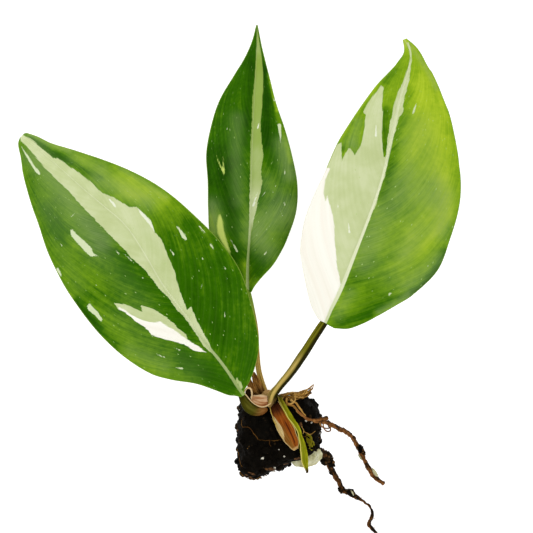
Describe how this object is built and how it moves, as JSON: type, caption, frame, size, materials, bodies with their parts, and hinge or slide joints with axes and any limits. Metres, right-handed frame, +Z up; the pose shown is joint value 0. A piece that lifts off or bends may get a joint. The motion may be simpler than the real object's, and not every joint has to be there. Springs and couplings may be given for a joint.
{
  "type": "bare-root white knight philodendron plantlet",
  "caption": "Bare-rooted young philodendron with white-splashed pointed leaves, a bud sheath, a small peat root ball and long trailing roots, lying flat as lifted from its pot.",
  "frame": {"origin": "middle of the flat spot under the root ball, on the surface that the plantlet lies on", "axes": "+Z up from the surface, +Y from the roots towards the leaf tips, +X to the right of someone who looks down on the plantlet from its root end"},
  "size_m": [0.168, 0.1961, 0.0352],
  "materials": {
    "leaf_green": "smooth leaf with a soft gloss, dark green splashed with cream and white",
    "leaf_lime": "smooth leaf with a soft gloss, lime green on one half and cream to white on the other",
    "stem": "dull olive brown with raised leaf scars",
    "petiole": "satin olive leaf stalk with fine lengthwise ribs",
    "petiole_tan": "satin yellowish tan leaf stalk",
    "sheath_green": "satin lime green bud sheath with pale edges",
    "sheath_brown": "withered bud sheath, cream outside and orange brown inside",
    "dry_sheath": "dry papery tan strips",
    "root": "rough brown root with clinging peat",
    "fine_root": "dull tan rootlets",
    "pumice": "pale porous chip",
    "peat": "moist black peat, crumbly and matt"
  },
  "bodies": {
    "root": {"left_blade": "leaf_green", "centre_blade": "leaf_green", "right_blade": "leaf_lime", "stem": "stem", "right_petiole": "petiole", "left_petiole": "petiole", "centre_petiole": "petiole_tan", "green_sheath": "sheath_green", "brown_sheath": "sheath_brown", "old_sheath": "dry_sheath", "upper_root": "root", "lower_root": "root", "fine_roots": "fine_root", "pumice_chip": "pumice", "root_ball": "peat"}
  },
  "joints": []
}
